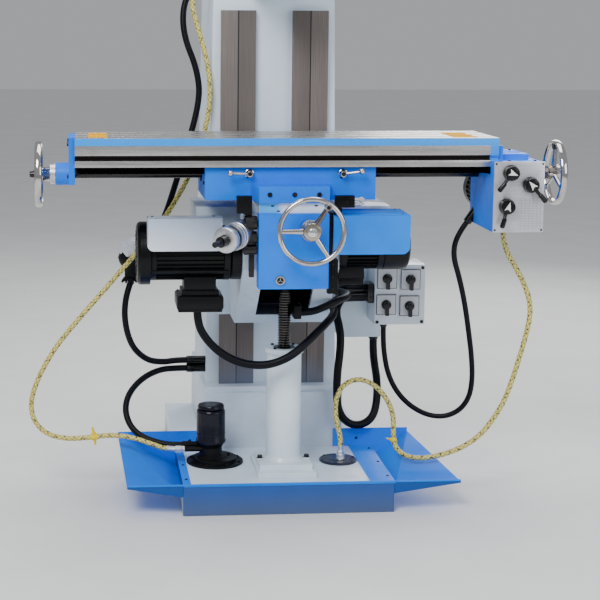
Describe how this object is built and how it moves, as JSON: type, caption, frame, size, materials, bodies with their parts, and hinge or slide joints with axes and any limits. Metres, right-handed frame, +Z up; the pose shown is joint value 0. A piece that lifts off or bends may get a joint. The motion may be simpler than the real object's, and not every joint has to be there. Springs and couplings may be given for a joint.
{
  "type": "vertical milling machine",
  "caption": "Knee-type vertical milling machine with a powered knee, saddle and long table, sheet drip trays, coolant hoses, and a tilting head on a sliding ram.",
  "frame": {"origin": "on the floor, centred between the column's ways, below the front plane of the ways", "axes": "+Z up, +X to the operator's right, +Y from the operator towards the column"},
  "size_m": [1.7233, 1.1903, 2.23],
  "materials": {
    "white_paint": "gloss",
    "blue_paint": "gloss",
    "cast_grey": "satin",
    "machined_steel": "satin",
    "dark_steel": "satin",
    "bronze": "satin",
    "black_paint": "gloss",
    "blue_cover": "gloss",
    "navy_paint": "gloss",
    "black_plastic": "gloss",
    "sight_lens": "gloss",
    "conduit_black": "satin",
    "hose_braid": "satin"
  },
  "bodies": {
    "frame": {"base_casting": "white_paint", "column_casting": "white_paint", "drip_tray_left": "blue_paint", "drip_tray_right": "blue_paint", "lift_pedestal": "white_paint", "lift_nut": "bronze", "pedestal_bolts": "dark_steel", "pump_flange": "black_paint", "pump_motor": "black_paint", "drain_strainer": "navy_paint", "electrical_cabinet": "white_paint", "switch_box": "white_paint", "conduit_glands": "black_plastic", "conduit_head": "conduit_black", "conduit_pump": "conduit_black", "cable_lift_motor": "conduit_black", "cable_knee": "conduit_black", "conduit_cabinet": "conduit_black", "cable_table": "conduit_black", "coolant_hose": "hose_braid", "drain_hose": "hose_braid"},
    "cabinet_door": {"cabinet_door": "white_paint"},
    "knob_1": {"switch_knob_1": "black_plastic"},
    "knob_2": {"switch_knob_2": "black_plastic"},
    "knob_3": {"switch_knob_3": "black_plastic"},
    "knob_4": {"switch_knob_4": "black_plastic"},
    "ram": {"ram": "white_paint"},
    "head": {"head_casting": "white_paint", "head_motor": "black_paint"},
    "quill": {"quill": "machined_steel"},
    "spindle": {"spindle": "machined_steel"},
    "quill_lever": {"quill_lever": "dark_steel"},
    "knee": {"knee_casting": "cast_grey", "knee_housing": "blue_paint", "sight_glass": "sight_lens", "crank_housing": "dark_steel", "lift_motor": "black_paint", "lift_motor_cover": "black_paint", "cross_motor": "black_paint", "cross_motor_cover": "blue_cover", "limit_switches": "black_paint"},
    "crank": {"crank_shaft": "machined_steel"},
    "lift_screw": {"elevating_screw": "dark_steel"},
    "cross_wheel": {"cross_handwheel": "machined_steel"},
    "saddle": {"saddle_casting": "blue_paint", "saddle_bracket": "blue_paint", "cross_nut": "bronze"},
    "lock_left": {"table_lock_left": "dark_steel"},
    "lock_right": {"table_lock_right": "dark_steel"},
    "table": {"table": "machined_steel", "end_bracket_left": "blue_paint", "feed_gearbox": "blue_paint", "gearbox_plate": "machined_steel", "table_feed_motor": "black_paint"},
    "table_screw": {"table_screw": "machined_steel", "handwheel_left": "machined_steel", "handwheel_right": "machined_steel"},
    "selector_1": {"selector_1": "black_plastic"},
    "selector_2": {"selector_2": "black_plastic"},
    "selector_3": {"selector_3": "black_plastic"}
  },
  "joints": [
    {"name": "lift_crank", "type": "hinge", "parent": "knee", "child": "crank", "pos_m": [-0.171, -0.5, 0.89], "axis": [-0.5427, -0.8356, -0.085], "range_deg": [-6481, 15841]},
    {"name": "knee_slide", "type": "slide", "parent": "frame", "child": "knee", "axis": [0, 0, 1], "range_m": [-0.09, 0.22], "deforming": ["conduit_head", "conduit_pump", "cable_lift_motor", "cable_knee", "conduit_cabinet", "cable_table", "coolant_hose", "drain_hose"]},
    {"name": "lift_screw_turn", "type": "hinge", "parent": "knee", "child": "lift_screw", "pos_m": [0, -0.325, 0.5], "axis": [0, 0, 1], "range_deg": [-6481, 15841]},
    {"name": "cross_feed_wheel", "type": "hinge", "parent": "knee", "child": "cross_wheel", "pos_m": [0.044, -0.6, 0.912], "axis": [0, 1, 0], "range_deg": [-3241, 7921]},
    {"name": "saddle_slide", "type": "slide", "parent": "knee", "child": "saddle", "axis": [0, 1, 0], "range_m": [-0.045, 0.11]},
    {"name": "table_feed_wheel", "type": "hinge", "parent": "table", "child": "table_screw", "pos_m": [0, -0.3, 1.06], "axis": [1, 0, 0], "range_deg": [-16201, 27361]},
    {"name": "table_slide", "type": "slide", "parent": "saddle", "child": "table", "axis": [1, 0, 0], "range_m": [-0.225, 0.38]},
    {"name": "table_lock_left_swing", "type": "hinge", "parent": "saddle", "child": "lock_left", "pos_m": [-0.13, -0.45, 1.073], "axis": [0, 1, 0], "range_deg": [-25, 25]},
    {"name": "table_lock_right_swing", "type": "hinge", "parent": "saddle", "child": "lock_right", "pos_m": [0.161, -0.45, 1.072], "axis": [0, 1, 0], "range_deg": [-25, 25]},
    {"name": "selector_1_turn", "type": "hinge", "parent": "table", "child": "selector_1", "pos_m": [0.6752, -0.5, 1.0787], "axis": [0, 1, 0], "range_deg": [-30, 30]},
    {"name": "selector_2_turn", "type": "hinge", "parent": "table", "child": "selector_2", "pos_m": [0.7381, -0.5, 1.0415], "axis": [0, 1, 0], "range_deg": [-30, 30]},
    {"name": "selector_3_turn", "type": "hinge", "parent": "table", "child": "selector_3", "pos_m": [0.6647, -0.5, 0.9743], "axis": [0, 1, 0], "range_deg": [-30, 30]},
    {"name": "cabinet_door_hinge", "type": "hinge", "parent": "frame", "child": "cabinet_door", "pos_m": [0.3823, 0.299, 0.629], "axis": [0, 0, 1], "range_deg": [0, 110]},
    {"name": "ram_slide", "type": "slide", "parent": "frame", "child": "ram", "axis": [0, 1, 0], "range_m": [-0.15, 0.1]},
    {"name": "head_tilt", "type": "hinge", "parent": "ram", "child": "head", "pos_m": [0, -0.2, 1.722], "axis": [0, 1, 0], "range_deg": [-45, 45]},
    {"name": "quill_lever_turn", "type": "hinge", "parent": "head", "child": "quill_lever", "pos_m": [0.1, -0.345, 1.79], "axis": [1, 0, 0], "range_deg": [0, 270]},
    {"name": "quill_feed", "type": "slide", "parent": "head", "child": "quill", "axis": [0, 0, -1], "range_m": [0, 0.1201]},
    {"name": "spindle_turn", "type": "hinge", "parent": "quill", "child": "spindle", "pos_m": [0, -0.31, 1.7], "axis": [0, 0, 1], "continuous": true},
    {"name": "switch_knob_1_turn", "type": "hinge", "parent": "frame", "child": "knob_1", "pos_m": [0.373, -0.12, 0.687], "axis": [0, 1, 0], "range_deg": [-60, 60]},
    {"name": "switch_knob_2_turn", "type": "hinge", "parent": "frame", "child": "knob_2", "pos_m": [0.4525, -0.12, 0.683], "axis": [0, 1, 0], "range_deg": [-60, 60]},
    {"name": "switch_knob_3_turn", "type": "hinge", "parent": "frame", "child": "knob_3", "pos_m": [0.371, -0.12, 0.598], "axis": [0, 1, 0], "range_deg": [-60, 60]},
    {"name": "switch_knob_4_turn", "type": "hinge", "parent": "frame", "child": "knob_4", "pos_m": [0.45, -0.12, 0.5935], "axis": [0, 1, 0], "range_deg": [-60, 60]}
  ],
  "couplings": [
    {"joint": "lift_crank", "follows": "knee_slide", "rad_per_m": 1256.6},
    {"joint": "lift_screw_turn", "follows": "knee_slide", "rad_per_m": 1256.6},
    {"joint": "cross_feed_wheel", "follows": "saddle_slide", "rad_per_m": 1256.6},
    {"joint": "table_feed_wheel", "follows": "table_slide", "rad_per_m": 1256.6},
    {"joint": "quill_feed", "follows": "quill_lever_turn", "m_per_rad": 0.025465}
  ]
}
